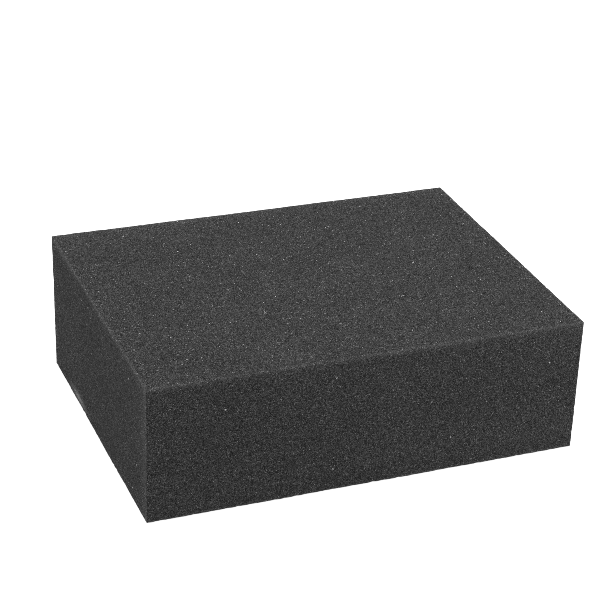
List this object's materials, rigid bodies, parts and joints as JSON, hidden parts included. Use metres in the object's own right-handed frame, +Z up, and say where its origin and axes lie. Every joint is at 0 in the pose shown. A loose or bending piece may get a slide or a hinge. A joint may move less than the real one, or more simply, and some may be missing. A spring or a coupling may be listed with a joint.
{
  "type": "floral foam brick",
  "caption": "Rectangular brick of dark grey open-cell foam with flat saw-cut faces and slightly softened edges, for holding stems or for craft work.",
  "frame": {"origin": "centre of the underside, on the surface that the brick stands on", "axes": "+X along the 300 mm length, +Y along the 225 mm depth towards the back, +Z up"},
  "size_m": [0.3, 0.225, 0.098],
  "materials": {
    "charcoal_foam": "matte"
  },
  "bodies": {
    "root": {"foam_brick": "charcoal_foam"}
  },
  "joints": []
}
